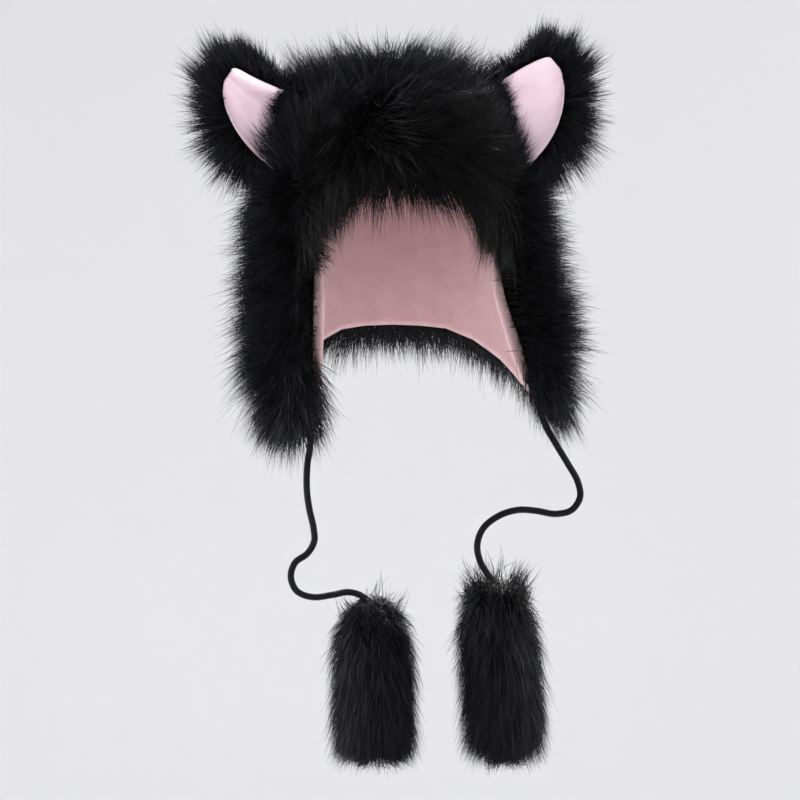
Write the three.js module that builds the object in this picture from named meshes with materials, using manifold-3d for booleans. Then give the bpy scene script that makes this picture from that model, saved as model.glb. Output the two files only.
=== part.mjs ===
// A hood of long black faux fur with two cat ears, a pink plush lining and long side flaps.
// A braided cord with a fur pompom hangs from the lower front corner of each flap.
// Millimetres, +Z up, the face opening looks along -Y. The origin is the inside of the crown,
// where the wearer's head touches. Left and right are the viewer's, so left is -X.

import * as THREE from "three";
import { mergeVertices } from "three/addons/utils/BufferGeometryUtils.js";
import Module from "manifold-3d";

const wasm = await Module();
wasm.setup();

// Height of the crown above the widest level, at the temples, inside the lining
const DOME_HEIGHT = 87;

// Layers, from the head outwards
const PLUSH = 3;
const SEAM_GAP = 0.3;
const BACKING = 3;
const UNDERFUR = 18; // dense fur over the backing, where the locks begin
const PILE = 44; // standing length of the locks, from the backing

// Cords and pompoms
const CORD_DIAMETER = 6.6;
const CORD_SIDES = 10;
const CORD_STEP = 15; // length of one straight stretch of the tube

const BLACK_FUR = { color: 0x0b0b0d, roughness: 0.9, metalness: 0 };
const BLACK_BRAID = { color: 0x0a0a0b, roughness: 0.8, metalness: 0 };
const PINK_PLUSH = { color: 0xe9a9b4, roughness: 0.95, metalness: 0 };

// Columns of the hood wall on one side, from the middle of the brow to the nape. azimuth: degrees
// from straight ahead; ring: height where the crown zone ends, which is the hem over the face;
// leftHem and rightHem: height of the hem of each side below the ring.
const COLUMNS = [
  { azimuth: 0, ring: -83 },
  { azimuth: 15.5, ring: -85 },
  { azimuth: 31, ring: -93 },
  { azimuth: 46, ring: -113, leftHem: -288, rightHem: -268 },
  { azimuth: 54, ring: -130, leftHem: -302, rightHem: -281 },
  { azimuth: 66, ring: -118, leftHem: -312, rightHem: -292 },
  { azimuth: 79, ring: -102, leftHem: -309, rightHem: -291 },
  { azimuth: 92, ring: -93, leftHem: -298, rightHem: -283 },
  { azimuth: 106, ring: -90, leftHem: -281, rightHem: -270 },
  { azimuth: 120, ring: -90, leftHem: -254, rightHem: -248 },
  { azimuth: 135, ring: -90, leftHem: -231, rightHem: -229 },
  { azimuth: 150, ring: -90, leftHem: -219, rightHem: -218 },
  { azimuth: 165, ring: -90, leftHem: -215, rightHem: -215 },
  { azimuth: 180, ring: -90, leftHem: -214, rightHem: -214 },
];
const SIDE_COLUMNS = COLUMNS.length - 1;
const LINING_EDGE = 3; // index of the column where the lining's front edge lies
const FLAP_EDGE = 4; // index of the column where the fur's front edge lies
const CROWN_ROWS = [0, 0.14, 0.32, 0.5, 0.68, 0.85, 1]; // share of the way from pole to ring
const SKIRT_ROWS = 8;

// Shape of the wall by height. width and depth: inner half sizes; spread: how far the right flap
// stands out; turn: how much further its front edge swings out; leftShow and rightShow: degrees
// by which the plush lining reaches past the fur's front edge.
const LEVELS = [
  { height: 0, width: 96, depth: 107, spread: 0, turn: 0, leftShow: 1, rightShow: 1 },
  { height: -87, width: 96, depth: 107, spread: 0, turn: 0, leftShow: 1, rightShow: 1 },
  { height: -144, width: 99, depth: 106, spread: 1, turn: 0, leftShow: 1, rightShow: 1.5 },
  { height: -192, width: 101, depth: 104, spread: 10, turn: 1, leftShow: 4, rightShow: 7 },
  { height: -240, width: 102, depth: 101, spread: 20, turn: 9, leftShow: 4, rightShow: 8 },
  { height: -320, width: 102, depth: 100, spread: 24, turn: 29, leftShow: 1, rightShow: 1.5 },
];

// How long the hood's locks stand, and how far their tips hang below their roots
const SHOULDER_PILE = 60; // on the crown's shoulders, halfway down to the temples
const SIDE_PILE = 50;
const BACK_PILE = 40;
const CROWN_LEAN = 5;
const BROW_LEAN = 17;
const SIDE_LEAN = 14;
// The last rows above a flap's or the nape's hem, from the hem upwards
const HEM_ROWS = [
  { pile: 24, lean: 36 },
  { pile: 42, lean: 29 },
  { pile: 50, lean: 20 },
];
const LOCK_STRAY = 5; // how far a tip may wander sideways
const LOCK_WAIST = { height: 0.45, narrowing: 0.38 }; // where a lock narrows, as shares
const LENGTH_STRAY = 0.08; // share by which the length of a lock varies

// Ears. tip: the ear's point; swing: how far its lower edge curves outwards on its way there
const EARS = [
  { side: "left", sign: -1, tip: [-168, -4, 14], swing: 8 },
  { side: "right", sign: 1, tip: [152, -4, 33], swing: 10 },
];
// Angles of the ear's seam on the crown, at its upper end, middle and lower end
const EAR_SEAM = { polar: [36, 63, 92], azimuth: [77, 96, 80] };
const EAR_SEAM_LIFT = 0.9; // room between the crown's backing and the ear's base
const EAR_ROUNDING = { power: 1.5, taper: 0.515, blunt: 0.08 };
const EAR_UPPER_SWING = 25; // how far the upper edge curves outwards
const EAR_UPPER_RISE = 9; // and upwards
const EAR_COLUMNS = 6;
const EAR_ROWS = 7;
const EAR_BURIED_ROWS = 2; // rows hidden in the crown's fur, which carry no locks
const EAR_UNDERFUR = 9;
const EAR_PILE = 30;
// How far the locks of the right ear stand out past its edges, as x, y and z
const EAR_REACH = { upper: [5, 0, 16], lower: [40, 0, -8], tip: [16, 0, 19] };
const EAR_PANEL_THICKNESS = 2.5;
const EAR_PANEL_GAP = 0.5;
const EAR_PANEL_INSET = 0.35; // share of the outer cells that the pink panel leaves bare
const EAR_SLOT_CLEARANCES = [0, 0.6, 1.1]; // room round the ear in the crown fur, cut in stages

// Cords. Each route is the cord's centre line as it hangs, from the flap's hem to the pompom.
const CORD_ROUTES = {
  left: [
    [-88.4, -55.2, -306.9],
    [-87.5, -62, -326],
    [-90.5, -68, -347],
    [-91, -71, -368.5],
    [-88.5, -73, -387.5],
    [-85, -74, -403],
    [-84.5, -75, -416],
    [-91, -76, -427],
    [-102, -77, -435],
    [-106, -78, -448],
    [-100.5, -79, -461],
    [-86, -80, -466.5],
    [-68, -81, -464.5],
    [-53.5, -82, -462],
    [-42, -83, -465],
    [-34.5, -83.5, -472.5],
    [-32, -84, -482],
  ],
  right: [
    [124.7, -55.3, -285.6],
    [130.5, -59, -307],
    [140, -64, -325.5],
    [151.5, -67, -345],
    [160.5, -69, -361.5],
    [162.5, -71, -376],
    [154.5, -72, -388],
    [139.5, -73, -391.5],
    [121, -74, -388.5],
    [104.5, -75, -387.5],
    [86, -76, -393],
    [71.5, -77, -404.5],
    [66, -78, -420],
    [69, -79, -435.5],
    [77, -80, -449],
    [82.5, -81, -459],
  ],
};

// Pompoms. Sections from the top, for a core of the usual length: drop below the top, half sizes
// of the dense core, and the share of the sideways and forward shift of its middle.
const POMPOM_SECTIONS = [
  { drop: 6, halfWidth: 13, halfDepth: 12, shift: 0.1 },
  { drop: 25, halfWidth: 24, halfDepth: 21, shift: 0.25 },
  { drop: 54, halfWidth: 28, halfDepth: 25, shift: 0.5 },
  { drop: 85, halfWidth: 29, halfDepth: 26, shift: 0.75 },
  { drop: 116, halfWidth: 30, halfDepth: 26, shift: 0.9 },
  { drop: 141, halfWidth: 24, halfDepth: 21, shift: 1 },
];
const POMPOM_LENGTH = 149;
const POMPOM_FORWARD = 4; // how far the bottom lies in front of the top
const POMPOM_GAP = 0.8; // below the middle of the cord's end, which is cut a little aslant
const POMPOM_COLUMNS = 9;
const POMPOM_PILE = 11;
const POMPOM_PILE_STRAY = 0.15;
const POMPOM_DROOP = 17; // how far the tips hang below their roots
// sway: how far the bottom lies to the right of the top; stretch: length against the usual
const POMPOMS = [
  { side: "left", sway: 4, stretch: 0.98 },
  { side: "right", sway: 10, stretch: 1.12 },
];

const radians = THREE.MathUtils.degToRad;
const lerp = THREE.MathUtils.lerp;
const smooth = THREE.MathUtils.smoothstep;

// A repeatable number from -1 to 1 for a cell of the fur
function wobble(i, j, channel) {
  const mixed = Math.sin(i * 127.1 + j * 311.7 + channel * 74.7) * 43758.5453;
  return 2 * (mixed - Math.floor(mixed)) - 1;
}

// Reads a named column of a table at a height, straight between its rows
function levelAt(height, name) {
  const after = LEVELS.findIndex((row) => row.height <= height);
  if (after === 0) return LEVELS[0][name];
  const below = after < 0 ? LEVELS.at(-1) : LEVELS[after];
  const above = after < 0 ? below : LEVELS[after - 1];
  const share = below === above ? 0 : (above.height - height) / (above.height - below.height);
  return lerp(above[name], below[name], share);
}

// A closed faceted surface, built triangle by triangle
class Skin {
  constructor() {
    this.positions = [];
  }

  triangle(a, b, c) {
    const flat = a.distanceTo(b) < 1e-6 || b.distanceTo(c) < 1e-6 || c.distanceTo(a) < 1e-6;
    if (flat) return;
    this.positions.push(...a.toArray(), ...b.toArray(), ...c.toArray());
  }

  quad(a, b, c, d) {
    this.triangle(a, b, c);
    this.triangle(a, c, d);
  }

  // A tapering lock over a ring of corners, leaning to its tip
  lock(corners, tip) {
    const centre = new THREE.Vector3();
    corners.forEach((corner) => centre.addScaledVector(corner, 1 / corners.length));
    const lift = tip.clone().sub(centre).multiplyScalar(LOCK_WAIST.height);
    const waist = (corner) => corner.clone().lerp(centre, LOCK_WAIST.narrowing).add(lift);
    const ring = corners.map(waist);
    corners.forEach((corner, k) => {
      const next = (k + 1) % corners.length;
      this.quad(corner, corners[next], ring[next], ring[k]);
      this.triangle(ring[k], ring[next], tip);
    });
  }

  geometry() {
    const made = new THREE.BufferGeometry();
    made.setAttribute("position", new THREE.Float32BufferAttribute(this.positions, 3));
    return mergeVertices(made, 1e-3);
  }
}

// A closed wall over the cells of a grid. at(i, j, face) is the vertex on the inner face, 0, or
// the outer face, 1; has(i, j) says which cells exist; tip(i, j) is a lock's tip, or null.
function gridWall({ columns, rows, at, has, tip }) {
  const skin = new Skin();
  for (const i of columns) {
    for (let j = 0; j < rows; j += 1) {
      if (!has(i, j)) continue;
      const corners = [
        [i, j],
        [i, j + 1],
        [i + 1, j + 1],
        [i + 1, j],
      ];
      const inner = corners.map(([u, v]) => at(u, v, 0));
      const outer = corners.map(([u, v]) => at(u, v, 1));
      const point = tip ? tip(i, j) : null;
      if (point) skin.lock(outer, point);
      else skin.quad(...outer);
      skin.triangle(inner[0], inner[2], inner[1]);
      skin.triangle(inner[0], inner[3], inner[2]);
      const neighbours = [
        [i - 1, j],
        [i, j + 1],
        [i + 1, j],
        [i, j - 1],
      ];
      neighbours.forEach(([u, v], k) => {
        if (has(u, v)) return;
        const next = (k + 1) % 4;
        skin.quad(outer[next], outer[k], inner[k], inner[next]);
      });
    }
  }
  return skin.geometry();
}

// The hood's columns run from the nape round the left, the brow and the right back to the nape
const HOOD_COLUMNS = Array.from({ length: 2 * SIDE_COLUMNS }, (_, k) => k - SIDE_COLUMNS);

function hoodColumn(i) {
  const turns = 2 * SIDE_COLUMNS;
  const wrapped = ((((i + SIDE_COLUMNS) % turns) + turns) % turns) - SIDE_COLUMNS;
  const row = COLUMNS[Math.abs(wrapped)];
  const left = wrapped < 0;
  return { ...row, index: Math.abs(wrapped), left, hem: left ? row.leftHem : row.rightHem };
}

// How far down the profile a height lies: 1 at the temples, and even along the wall's length
const DOME_ARC = (DOME_HEIGHT * Math.PI) / 2;

function dropAt(height) {
  const above = height + DOME_HEIGHT;
  return above > 0 ? Math.acos(above / DOME_HEIGHT) / (Math.PI / 2) : 1 - above / DOME_ARC;
}

// The lining's inner surface at an azimuth in degrees and a drop
function innerSurface(azimuth, drop) {
  const polar = (Math.min(drop, 1) * Math.PI) / 2;
  const below = Math.max(drop - 1, 0) * DOME_ARC;
  const height = DOME_HEIGHT * (Math.cos(polar) - 1) - below;
  const angle = radians(azimuth);
  const away = Math.abs(((((azimuth + 180) % 360) + 360) % 360) - 180);
  const right = Math.sin(angle) > 0;
  const spread = right ? levelAt(height, "spread") * (1 - smooth(away, 95, 160)) : 0;
  const turn = right ? levelAt(height, "turn") * (1 - smooth(away, 50, 95)) : 0;
  const x = (levelAt(height, "width") + spread) * Math.sin(polar) * Math.sin(angle);
  const y = -levelAt(height, "depth") * Math.sin(polar) * Math.cos(angle);
  return new THREE.Vector3(x + turn, y, height);
}

function outwardNormal(azimuth, drop) {
  if (drop < 1e-3) return new THREE.Vector3(0, 0, 1);
  const step = 1e-3;
  const across = innerSurface(azimuth + 1, drop).sub(innerSurface(azimuth - 1, drop));
  const down = innerSurface(azimuth, drop + step).sub(innerSurface(azimuth, drop - step));
  return down.cross(across).normalize();
}

// Where a vertex of the hood's grid lies: its azimuth and drop. Rows go past the ring down to
// the hem, and the lining's front edge shows past the fur by the degrees in LEVELS.
function hoodPlace(i, j) {
  const column = hoodColumn(i);
  const side = column.left ? -1 : 1;
  const ring = dropAt(column.ring);
  const crown = CROWN_ROWS.length - 1;
  if (j <= crown) return { azimuth: side * column.azimuth, drop: CROWN_ROWS[j] * ring };
  const share = (j - crown) / SKIRT_ROWS;
  const height = lerp(column.ring, column.hem, share);
  const show = levelAt(height, column.left ? "leftShow" : "rightShow");
  const azimuth = column.index === LINING_EDGE ? COLUMNS[FLAP_EDGE].azimuth - show : column.azimuth;
  return { azimuth: side * azimuth, drop: dropAt(height) };
}

function hoodPoint(i, j, offset) {
  const { azimuth, drop } = hoodPlace(i, j);
  return innerSurface(azimuth, drop).addScaledVector(outwardNormal(azimuth, drop), offset);
}

// A cell exists over the whole crown, and below the ring only behind a front edge
function hoodHas(i, j, edge) {
  if (j < 0 || j >= CROWN_ROWS.length - 1 + SKIRT_ROWS) return false;
  if (j < CROWN_ROWS.length - 1) return true;
  return Math.min(hoodColumn(i).index, hoodColumn(i + 1).index) >= edge;
}

const HOOD_ROWS = CROWN_ROWS.length - 1 + SKIRT_ROWS;

function makeLining() {
  return gridWall({
    columns: HOOD_COLUMNS,
    rows: HOOD_ROWS,
    has: (i, j) => hoodHas(i, j, LINING_EDGE),
    at: (i, j, face) => hoodPoint(i, j, face * PLUSH),
  });
}

function makeHoodFur() {
  const has = (i, j) => hoodHas(i, j, FLAP_EDGE);
  const inner = PLUSH + SEAM_GAP;
  const backing = inner + BACKING;
  const crown = CROWN_ROWS.length - 1;

  // The underfur thins to the bare backing along every hem
  const onHem = (i, j) => {
    if (j === 0) return false;
    return !(has(i, j) && has(i - 1, j) && has(i, j - 1) && has(i - 1, j - 1));
  };

  const at = (i, j, face) => {
    if (face === 0) return hoodPoint(i, j, inner);
    if (j === 0) return hoodPoint(i, j, backing + PILE);
    return hoodPoint(i, j, onHem(i, j) ? backing : backing + UNDERFUR);
  };

  const tip = (i, j) => {
    if (j === 0) return null;
    const a = hoodPlace(i, j);
    const c = hoodPlace(i + 1, j + 1);
    const span = Math.abs(c.azimuth - a.azimuth) > 180 ? 360 : 0;
    const azimuth = (a.azimuth + c.azimuth + span) / 2;
    const drop = (a.drop + c.drop) / 2;
    const away = Math.abs(azimuth > 180 ? azimuth - 360 : azimuth);
    const behind = smooth(away, 110, 160);
    const beside = smooth(away, 40, 80) * smooth(drop, 0.6, 1.1);
    const overFace = away < COLUMNS[FLAP_EDGE].azimuth;
    const fromHem = overFace ? HEM_ROWS.length : HOOD_ROWS - 1 - j;
    const fallen = lerp(CROWN_LEAN, overFace ? BROW_LEAN : SIDE_LEAN, smooth(j, 0, crown));
    const shoulder = smooth(drop, 0.15, 0.45) * (1 - smooth(drop, 0.6, 0.95));
    const crownPile = lerp(PILE, SHOULDER_PILE, shoulder);
    const standing = lerp(lerp(crownPile, SIDE_PILE, beside), BACK_PILE, behind * (1 - shoulder));
    const pile = Math.min(standing, HEM_ROWS[fromHem]?.pile ?? standing);
    const lean = HEM_ROWS[fromHem]?.lean ?? fallen;
    const stray = 1 + LENGTH_STRAY * wobble(i, j, 1);
    const root = innerSurface(azimuth, drop);
    const down = innerSurface(azimuth, drop + 0.02).sub(root).normalize();
    const across = innerSurface(azimuth + 2, drop).sub(root).normalize();
    return root
      .addScaledVector(outwardNormal(azimuth, drop), backing + pile * stray)
      .addScaledVector(down, lean + LOCK_STRAY * wobble(i, j, 2))
      .addScaledVector(across, LOCK_STRAY * wobble(i, j, 3));
  };

  return gridWall({ columns: HOOD_COLUMNS, rows: HOOD_ROWS, has, at, tip });
}

// The ear's cupped sheet. across runs from -1 at the upper edge to 1 at the lower edge, and up
// from 0 at the seam to 1 at the tip. Made for the right side; the left is its mirror image.
function earSheet(ear, across, up) {
  const seam = (t) => {
    const bend = (values) => {
      const [first, middle, last] = values;
      return middle + ((last - first) / 2) * t + ((last + first) / 2 - middle) * t * t;
    };
    const polar = bend(EAR_SEAM.polar);
    const azimuth = bend(EAR_SEAM.azimuth);
    const lift = PLUSH + BACKING + EAR_SEAM_LIFT;
    const drop = polar / 90;
    return innerSurface(azimuth, drop).addScaledVector(outwardNormal(azimuth, drop), lift);
  };
  const { power, taper, blunt } = EAR_ROUNDING;
  const narrow = blunt + (1 - blunt) * (1 - up ** power) ** taper;
  const tip = new THREE.Vector3(Math.abs(ear.tip[0]), ear.tip[1], ear.tip[2]);
  const base = seam(0);
  const spine = base.clone().lerp(tip, up);
  const lower = (1 + across) / 2;
  spine.x += lerp(EAR_UPPER_SWING, ear.swing, lower) * Math.sin(Math.PI * up);
  spine.z += EAR_UPPER_RISE * (1 - lower) * Math.sin(Math.PI * up);
  return spine.add(seam(across).sub(base).multiplyScalar(narrow));
}

function earPoint(ear, across, up, offset) {
  const step = 0.01;
  const near = THREE.MathUtils.clamp(up, step, 1 - 2 * step);
  const alongUp = earSheet(ear, across, near + step).sub(earSheet(ear, across, near - step));
  const alongAcross = earSheet(ear, across + step, near).sub(earSheet(ear, across - step, near));
  const back = alongUp.cross(alongAcross).normalize();
  const point = earSheet(ear, across, up).addScaledVector(back, offset);
  return new THREE.Vector3(ear.sign * point.x, point.y, point.z);
}

// A wall over part of the ear's grid; the mirrored side counts its columns the other way
function earWall(ear, { has, at, tip }) {
  const flip = ear.sign < 0;
  const column = (i) => (flip ? EAR_COLUMNS - i : i);
  const cell = (i) => (flip ? EAR_COLUMNS - 1 - i : i);
  return gridWall({
    columns: Array.from({ length: EAR_COLUMNS }, (_, k) => k),
    rows: EAR_ROWS,
    has: (i, j) => has(cell(i), j),
    at: (i, j, face) => at(column(i), j, face),
    tip: tip && ((i, j) => tip(cell(i), j)),
  });
}

const earAcross = (i) => (2 * i) / EAR_COLUMNS - 1;
const earUp = (j) => j / EAR_ROWS;

function makeEarFur(ear) {
  const has = (i, j) => i >= 0 && i < EAR_COLUMNS && j >= 0 && j < EAR_ROWS;
  const at = (i, j, face) => {
    const inside = i > 0 && i < EAR_COLUMNS && j > EAR_BURIED_ROWS && j < EAR_ROWS;
    const depth = BACKING + (inside ? EAR_UNDERFUR : 0);
    return earPoint(ear, earAcross(i), earUp(j), face * depth);
  };
  const tip = (i, j) => {
    if (j < EAR_BURIED_ROWS) return null;
    const across = earAcross(i + 0.5);
    const up = earUp(j + 0.5);
    const length = 1 + LENGTH_STRAY * wobble(i, j, ear.sign + 5);
    const nearEdge = Math.abs(across) ** 1.5;
    const nearTip = smooth(up, 0.45, 1);
    const edge = across < 0 ? EAR_REACH.upper : EAR_REACH.lower;
    const reach = new THREE.Vector3(...edge).multiplyScalar(nearEdge * (1 - 0.5 * nearTip));
    reach.addScaledVector(new THREE.Vector3(...EAR_REACH.tip), nearTip).multiplyScalar(length);
    reach.x *= ear.sign;
    const stand = EAR_PILE * (1 - 0.5 * Math.abs(across)) * length;
    return earPoint(ear, across, up, stand).add(reach);
  };
  return earWall(ear, { has, at, tip });
}

// The pink panel lies on the ear's flat facets and stops short of its edges, so that the fur
// frames it
function makeEarInner(ear) {
  const has = (i, j) => i >= 0 && i < EAR_COLUMNS && j >= 1 && j < EAR_ROWS;
  const at = (i, j, face) => {
    const offset = -EAR_PANEL_GAP - (1 - face) * EAR_PANEL_THICKNESS;
    const onGrid = (u, v) => earPoint(ear, earAcross(u), earUp(v), offset);
    const inwards = (k, count) => (k === 0 ? 1 : k === count ? -1 : 0);
    const stepAcross = inwards(i, EAR_COLUMNS);
    const stepUp = j === EAR_ROWS ? -1 : 0;
    const edge = onGrid(i, j).lerp(onGrid(i + stepAcross, j), EAR_PANEL_INSET);
    const next = onGrid(i, j + stepUp).lerp(onGrid(i + stepAcross, j + stepUp), EAR_PANEL_INSET);
    return edge.lerp(next, EAR_PANEL_INSET);
  };
  return earWall(ear, { has, at });
}

function makeCord(side) {
  const points = CORD_ROUTES[side].map((point) => new THREE.Vector3(...point));
  const route = new THREE.CatmullRomCurve3(points, false, "centripetal");
  const section = new THREE.Shape();
  for (let k = 0; k < CORD_SIDES; k += 1) {
    const angle = (2 * Math.PI * k) / CORD_SIDES;
    const x = (CORD_DIAMETER / 2) * Math.cos(angle);
    const y = (CORD_DIAMETER / 2) * Math.sin(angle);
    if (k === 0) section.moveTo(x, y);
    else section.lineTo(x, y);
  }
  const steps = Math.round(route.getLength() / CORD_STEP);
  const tube = new THREE.ExtrudeGeometry(section, {
    steps,
    bevelEnabled: false,
    extrudePath: route,
  });
  tube.deleteAttribute("normal");
  tube.deleteAttribute("uv");
  return mergeVertices(tube, 1e-3);
}

// A pompom hangs from the end of its cord, its top a hair below the cord's last point
function makePompom({ side, sway, stretch }) {
  const end = new THREE.Vector3(...CORD_ROUTES[side].at(-1));
  const top = end.add(new THREE.Vector3(0, 0, -POMPOM_GAP));
  const centre = (drop, shift) =>
    top.clone().add(new THREE.Vector3(sway * shift, -POMPOM_FORWARD * shift, -drop * stretch));
  const rows = POMPOM_SECTIONS.length + 1;
  const at = (i, j) => {
    if (j === 0) return centre(0, 0);
    if (j === rows) return centre(POMPOM_LENGTH, 1);
    const { drop, halfWidth, halfDepth, shift } = POMPOM_SECTIONS[j - 1];
    const angle = (2 * Math.PI * (i + (j % 2) / 2)) / POMPOM_COLUMNS;
    const out = new THREE.Vector3(halfWidth * Math.sin(angle), -halfDepth * Math.cos(angle), 0);
    return centre(drop, shift).add(out);
  };
  const skin = new Skin();
  for (let i = 0; i < POMPOM_COLUMNS; i += 1) {
    for (let j = 0; j < rows; j += 1) {
      const corners = [at(i, j), at(i, j + 1), at(i + 1, j + 1), at(i + 1, j)];
      if (j === 0 || j === rows - 1) {
        skin.quad(...corners);
        continue;
      }
      const middle = new THREE.Vector3();
      corners.forEach((corner) => middle.addScaledVector(corner, 1 / corners.length));
      const axis = centre(0, (j + 0.5) / rows);
      const out = middle.clone().sub(axis).setZ(0).normalize();
      const length = 1 + POMPOM_PILE_STRAY * wobble(i, j, side === "left" ? 11 : 12);
      middle.addScaledVector(out, POMPOM_PILE * length);
      middle.z -= POMPOM_DROOP * length;
      skin.lock(corners, middle);
    }
  }
  return skin.geometry();
}

// Joins and cuts on closed geometries
function solidOf(geometry) {
  return new wasm.Manifold(
    new wasm.Mesh({
      numProp: 3,
      vertProperties: geometry.getAttribute("position").array,
      triVerts: new Uint32Array(geometry.index.array),
    }),
  );
}

function geometryOf(solid) {
  const mesh = solid.getMesh();
  const made = new THREE.BufferGeometry();
  made.setAttribute("position", new THREE.BufferAttribute(mesh.vertProperties, 3));
  made.setIndex(new THREE.BufferAttribute(mesh.triVerts, 1));
  return made;
}

// The same surface moved outwards along its vertex normals, in which every face of a corner
// counts by its angle there, so that narrow edge faces move too
function grown(geometry, distance) {
  const position = geometry.getAttribute("position");
  const corner = Array.from({ length: position.count }, (_, k) =>
    new THREE.Vector3().fromBufferAttribute(position, k),
  );
  const normal = corner.map(() => new THREE.Vector3());
  const index = geometry.index.array;
  for (let k = 0; k < index.length; k += 3) {
    const face = [index[k], index[k + 1], index[k + 2]];
    const [a, b, c] = face.map((vertex) => corner[vertex]);
    const outward = b.clone().sub(a).cross(c.clone().sub(a)).normalize();
    face.forEach((vertex, turn) => {
      const next = corner[face[(turn + 1) % 3]].clone().sub(corner[vertex]);
      const last = corner[face[(turn + 2) % 3]].clone().sub(corner[vertex]);
      normal[vertex].addScaledVector(outward, next.angleTo(last));
    });
  }
  const moved = corner.map((point, k) => point.addScaledVector(normal[k].normalize(), distance));
  const made = new THREE.BufferGeometry().setFromPoints(moved);
  made.setIndex(geometry.index);
  return made;
}

// Cuts a slot for each ear piece through the crown's fur, and keeps the main body
function slotted(geometry, pieces) {
  let solid = solidOf(geometry);
  for (const piece of pieces) {
    for (const room of EAR_SLOT_CLEARANCES) solid = solid.subtract(solidOf(grown(piece, room)));
  }
  const bodies = solid.decompose().sort((a, b) => b.volume() - a.volume());
  return geometryOf(bodies[0]);
}

const hood = new THREE.Group();

function addPiece(name, geometry, finish) {
  geometry.computeVertexNormals();
  const mesh = new THREE.Mesh(geometry, new THREE.MeshStandardMaterial(finish));
  mesh.name = name;
  hood.add(mesh);
}

const earPieces = EARS.map((ear) => ({ ear, fur: makeEarFur(ear), inner: makeEarInner(ear) }));
const slots = earPieces.flatMap(({ fur, inner }) => [fur, inner]);

addPiece("lining", makeLining(), PINK_PLUSH);
addPiece("hood_fur", slotted(makeHoodFur(), slots), BLACK_FUR);
for (const { ear, fur, inner } of earPieces) {
  addPiece(`ear_fur_${ear.side}`, fur, BLACK_FUR);
  addPiece(`ear_inner_${ear.side}`, inner, PINK_PLUSH);
}
for (const pompom of POMPOMS) {
  addPiece(`cord_${pompom.side}`, makeCord(pompom.side), BLACK_BRAID);
  addPiece(`pompom_${pompom.side}`, makePompom(pompom), BLACK_FUR);
}

export default hood;
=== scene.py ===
import math

import bpy
import numpy as np
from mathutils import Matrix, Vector


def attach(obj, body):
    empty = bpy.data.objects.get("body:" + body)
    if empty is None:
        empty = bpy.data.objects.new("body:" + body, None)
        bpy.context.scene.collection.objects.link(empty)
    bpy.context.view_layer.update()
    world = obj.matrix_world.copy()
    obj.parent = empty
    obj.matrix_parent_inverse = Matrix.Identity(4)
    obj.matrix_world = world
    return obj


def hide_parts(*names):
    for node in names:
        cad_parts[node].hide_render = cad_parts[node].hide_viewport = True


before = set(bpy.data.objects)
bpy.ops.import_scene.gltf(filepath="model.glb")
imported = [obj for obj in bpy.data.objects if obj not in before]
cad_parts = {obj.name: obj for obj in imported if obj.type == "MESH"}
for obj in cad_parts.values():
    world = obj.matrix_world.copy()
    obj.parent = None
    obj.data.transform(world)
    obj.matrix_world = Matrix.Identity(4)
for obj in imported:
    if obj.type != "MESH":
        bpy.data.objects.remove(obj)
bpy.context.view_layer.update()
bpy.ops.object.select_all(action="DESELECT")

# Camera. It stands level with the middle of the hood and a little to its left, so the face
# opening looks slightly past it.
PICTURE_WIDTH = 0.76
CAMERA_DISTANCE = 2.5
CAMERA_TURN = math.radians(4)
CAMERA_RISE = math.radians(1)
CAMERA_AIM = Vector((0, 0, -0.287))

backwards = Vector(
    (
        -math.sin(CAMERA_TURN) * math.cos(CAMERA_RISE),
        -math.cos(CAMERA_TURN) * math.cos(CAMERA_RISE),
        math.sin(CAMERA_RISE),
    )
)
bpy.ops.object.camera_add(location=CAMERA_AIM + backwards * CAMERA_DISTANCE)
camera = bpy.context.object
camera.rotation_euler = (-backwards).to_track_quat("-Z", "Y").to_euler()
camera.data.lens = camera.data.sensor_width * CAMERA_DISTANCE / PICTURE_WIDTH
bpy.context.scene.camera = camera

# Cords. Each is a round cord braided from eight pairs of black polyester strands over a core,
# sewn to the front corner of a flap. It hangs in loose curves and ends sewn into a pompom.
CORD_DIAMETER = 0.0066
CORD_ROUTES = {
    "left": [
        (-0.0884, -0.0552, -0.3069),
        (-0.0875, -0.062, -0.326),
        (-0.0905, -0.068, -0.347),
        (-0.091, -0.071, -0.3685),
        (-0.0885, -0.073, -0.3875),
        (-0.085, -0.074, -0.403),
        (-0.0845, -0.075, -0.416),
        (-0.091, -0.076, -0.427),
        (-0.102, -0.077, -0.435),
        (-0.106, -0.078, -0.448),
        (-0.1005, -0.079, -0.461),
        (-0.086, -0.08, -0.4665),
        (-0.068, -0.081, -0.4645),
        (-0.0535, -0.082, -0.462),
        (-0.042, -0.083, -0.465),
        (-0.0345, -0.0835, -0.4725),
        (-0.032, -0.084, -0.482),
    ],
    "right": [
        (0.1247, -0.0553, -0.2856),
        (0.1305, -0.059, -0.307),
        (0.14, -0.064, -0.3255),
        (0.1515, -0.067, -0.345),
        (0.1605, -0.069, -0.3615),
        (0.1625, -0.071, -0.376),
        (0.1545, -0.072, -0.388),
        (0.1395, -0.073, -0.3915),
        (0.121, -0.074, -0.3885),
        (0.1045, -0.075, -0.3875),
        (0.086, -0.076, -0.393),
        (0.0715, -0.077, -0.4045),
        (0.066, -0.078, -0.42),
        (0.069, -0.079, -0.4355),
        (0.077, -0.08, -0.449),
        (0.0825, -0.081, -0.459),
    ],
}
CORD_SEWN_IN = 0.08  # length of the cord inside the pompom
CORD_SEWN_POINTS = 3
CORD_STEP = 0.001
CURVE_POINTS = 40  # worked out between two points of a route
PATH_EVERY = 5  # steps between the points picked out of a cord's line at the end
BRAID_STRANDS = 8  # in each direction round the core
BRAID_PITCH = 0.02
STRAND_HALF_WIDTH = 0.0008
STRAND_HALF_THICKNESS = 0.0005
BRAID_WAVE = 0.00025
CORE_RADIUS = 0.0025
CORE_SIDES = 8


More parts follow.
